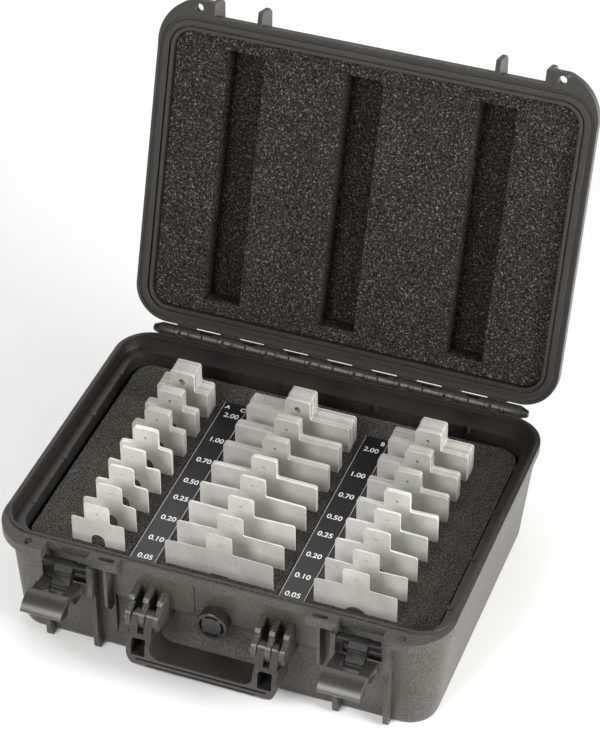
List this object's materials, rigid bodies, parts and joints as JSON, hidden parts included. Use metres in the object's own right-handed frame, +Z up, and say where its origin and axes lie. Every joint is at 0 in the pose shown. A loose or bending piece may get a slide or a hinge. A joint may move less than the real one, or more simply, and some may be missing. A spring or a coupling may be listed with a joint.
{
  "type": "shim case",
  "caption": "Moulded hinged case with latches, folding handle and pressure valve, holding stacks of slotted steel shims on edge in foam.",
  "frame": {"origin": "centre of the flat underside of the base, on the case's middle plane", "axes": "+X to the right along the front, +Y from the latches to the hinge, +Z up"},
  "size_m": [0.4166, 0.5061, 0.4193],
  "materials": {
    "case_plastic": "fine moulded grain",
    "latch_plastic": "satin",
    "handle_plastic": "satin",
    "valve_plastic": "satin",
    "gasket_rubber": "matt",
    "foam": "open cell foam",
    "label_film": "satin film",
    "shim_steel": "brushed",
    "pin_steel": "satin"
  },
  "bodies": {
    "case": {"base_shell": "case_plastic", "base_foam": "foam", "label_strip_left": "label_film", "label_strip_right": "label_film", "hinge_pin": "pin_steel", "handle_pins": "pin_steel", "valve_body": "valve_plastic", "valve_cap": "valve_plastic", "valve_seal": "gasket_rubber", "latch_bar_left": "pin_steel", "latch_bar_right": "pin_steel"},
    "lid": {"lid_shell": "case_plastic", "gasket": "gasket_rubber", "lid_foam": "foam"},
    "handle": {"handle": "handle_plastic"},
    "latch_link_left": {"latch_link_left": "latch_plastic", "latch_pin_left": "pin_steel"},
    "latch_lever_left": {"latch_lever_left": "latch_plastic"},
    "latch_link_right": {"latch_link_right": "latch_plastic", "latch_pin_right": "pin_steel"},
    "latch_lever_right": {"latch_lever_right": "latch_plastic"},
    "shims_a_005": {"shims_a_005": "shim_steel"},
    "shims_a_010": {"shims_a_010": "shim_steel"},
    "shims_a_020": {"shims_a_020": "shim_steel"},
    "shims_a_025": {"shims_a_025": "shim_steel"},
    "shims_a_050": {"shims_a_050": "shim_steel"},
    "shims_a_070": {"shims_a_070": "shim_steel"},
    "shims_a_100": {"shims_a_100": "shim_steel"},
    "shims_a_200": {"shims_a_200": "shim_steel"},
    "shims_c_005": {"shims_c_005": "shim_steel"},
    "shims_c_010": {"shims_c_010": "shim_steel"},
    "shims_c_020": {"shims_c_020": "shim_steel"},
    "shims_c_025": {"shims_c_025": "shim_steel"},
    "shims_c_050": {"shims_c_050": "shim_steel"},
    "shims_c_070": {"shims_c_070": "shim_steel"},
    "shims_c_100": {"shims_c_100": "shim_steel"},
    "shims_c_200": {"shims_c_200": "shim_steel"},
    "shims_b_005": {"shims_b_005": "shim_steel"},
    "shims_b_010": {"shims_b_010": "shim_steel"},
    "shims_b_020": {"shims_b_020": "shim_steel"},
    "shims_b_025": {"shims_b_025": "shim_steel"},
    "shims_b_050": {"shims_b_050": "shim_steel"},
    "shims_b_070": {"shims_b_070": "shim_steel"},
    "shims_b_100": {"shims_b_100": "shim_steel"},
    "shims_b_200": {"shims_b_200": "shim_steel"}
  },
  "joints": [
    {"name": "lid_hinge", "type": "hinge", "parent": "case", "child": "lid", "pos_m": [0, 0.1585, 0.112], "axis": [-1, 0, 0], "range_deg": [-107.6, 0]},
    {"name": "handle_fold", "type": "hinge", "parent": "case", "child": "handle", "pos_m": [0, -0.168, 0.071], "axis": [-1, 0, 0], "range_deg": [0, 100]},
    {"name": "latch_left_swing", "type": "hinge", "parent": "case", "child": "latch_link_left", "pos_m": [-0.135, -0.158, 0.096], "axis": [1, 0, 0], "range_deg": [-135, 0]},
    {"name": "latch_left_lever", "type": "hinge", "parent": "latch_link_left", "child": "latch_lever_left", "pos_m": [-0.135, -0.17214, 0.08186], "axis": [1, 0, 0], "range_deg": [0, 228]},
    {"name": "latch_right_swing", "type": "hinge", "parent": "case", "child": "latch_link_right", "pos_m": [0.135, -0.158, 0.096], "axis": [1, 0, 0], "range_deg": [-135, 0]},
    {"name": "latch_right_lever", "type": "hinge", "parent": "latch_link_right", "child": "latch_lever_right", "pos_m": [0.135, -0.17214, 0.08186], "axis": [1, 0, 0], "range_deg": [0, 228]},
    {"name": "shims_a_005_lift", "type": "slide", "parent": "case", "child": "shims_a_005", "axis": [0, 0, 1], "range_m": [0, 0.028]},
    {"name": "shims_a_010_lift", "type": "slide", "parent": "case", "child": "shims_a_010", "axis": [0, 0, 1], "range_m": [0, 0.028]},
    {"name": "shims_a_020_lift", "type": "slide", "parent": "case", "child": "shims_a_020", "axis": [0, 0, 1], "range_m": [0, 0.028]},
    {"name": "shims_a_025_lift", "type": "slide", "parent": "case", "child": "shims_a_025", "axis": [0, 0, 1], "range_m": [0, 0.028]},
    {"name": "shims_a_050_lift", "type": "slide", "parent": "case", "child": "shims_a_050", "axis": [0, 0, 1], "range_m": [0, 0.028]},
    {"name": "shims_a_070_lift", "type": "slide", "parent": "case", "child": "shims_a_070", "axis": [0, 0, 1], "range_m": [0, 0.028]},
    {"name": "shims_a_100_lift", "type": "slide", "parent": "case", "child": "shims_a_100", "axis": [0, 0, 1], "range_m": [0, 0.028]},
    {"name": "shims_a_200_lift", "type": "slide", "parent": "case", "child": "shims_a_200", "axis": [0, 0, 1], "range_m": [0, 0.028]},
    {"name": "shims_c_005_lift", "type": "slide", "parent": "case", "child": "shims_c_005", "axis": [0, 0, 1], "range_m": [0, 0.078]},
    {"name": "shims_c_010_lift", "type": "slide", "parent": "case", "child": "shims_c_010", "axis": [0, 0, 1], "range_m": [0, 0.078]},
    {"name": "shims_c_020_lift", "type": "slide", "parent": "case", "child": "shims_c_020", "axis": [0, 0, 1], "range_m": [0, 0.078]},
    {"name": "shims_c_025_lift", "type": "slide", "parent": "case", "child": "shims_c_025", "axis": [0, 0, 1], "range_m": [0, 0.078]},
    {"name": "shims_c_050_lift", "type": "slide", "parent": "case", "child": "shims_c_050", "axis": [0, 0, 1], "range_m": [0, 0.078]},
    {"name": "shims_c_070_lift", "type": "slide", "parent": "case", "child": "shims_c_070", "axis": [0, 0, 1], "range_m": [0, 0.078]},
    {"name": "shims_c_100_lift", "type": "slide", "parent": "case", "child": "shims_c_100", "axis": [0, 0, 1], "range_m": [0, 0.078]},
    {"name": "shims_c_200_lift", "type": "slide", "parent": "case", "child": "shims_c_200", "axis": [0, 0, 1], "range_m": [0, 0.078]},
    {"name": "shims_b_005_lift", "type": "slide", "parent": "case", "child": "shims_b_005", "axis": [0, 0, 1], "range_m": [0, 0.053]},
    {"name": "shims_b_010_lift", "type": "slide", "parent": "case", "child": "shims_b_010", "axis": [0, 0, 1], "range_m": [0, 0.053]},
    {"name": "shims_b_020_lift", "type": "slide", "parent": "case", "child": "shims_b_020", "axis": [0, 0, 1], "range_m": [0, 0.053]},
    {"name": "shims_b_025_lift", "type": "slide", "parent": "case", "child": "shims_b_025", "axis": [0, 0, 1], "range_m": [0, 0.053]},
    {"name": "shims_b_050_lift", "type": "slide", "parent": "case", "child": "shims_b_050", "axis": [0, 0, 1], "range_m": [0, 0.053]},
    {"name": "shims_b_070_lift", "type": "slide", "parent": "case", "child": "shims_b_070", "axis": [0, 0, 1], "range_m": [0, 0.053]},
    {"name": "shims_b_100_lift", "type": "slide", "parent": "case", "child": "shims_b_100", "axis": [0, 0, 1], "range_m": [0, 0.053]},
    {"name": "shims_b_200_lift", "type": "slide", "parent": "case", "child": "shims_b_200", "axis": [0, 0, 1], "range_m": [0, 0.053]}
  ],
  "couplings": [
    {"joint": "latch_left_lever", "follows": "latch_left_swing", "ratio": -1.6815},
    {"joint": "latch_right_lever", "follows": "latch_right_swing", "ratio": -1.6815}
  ]
}
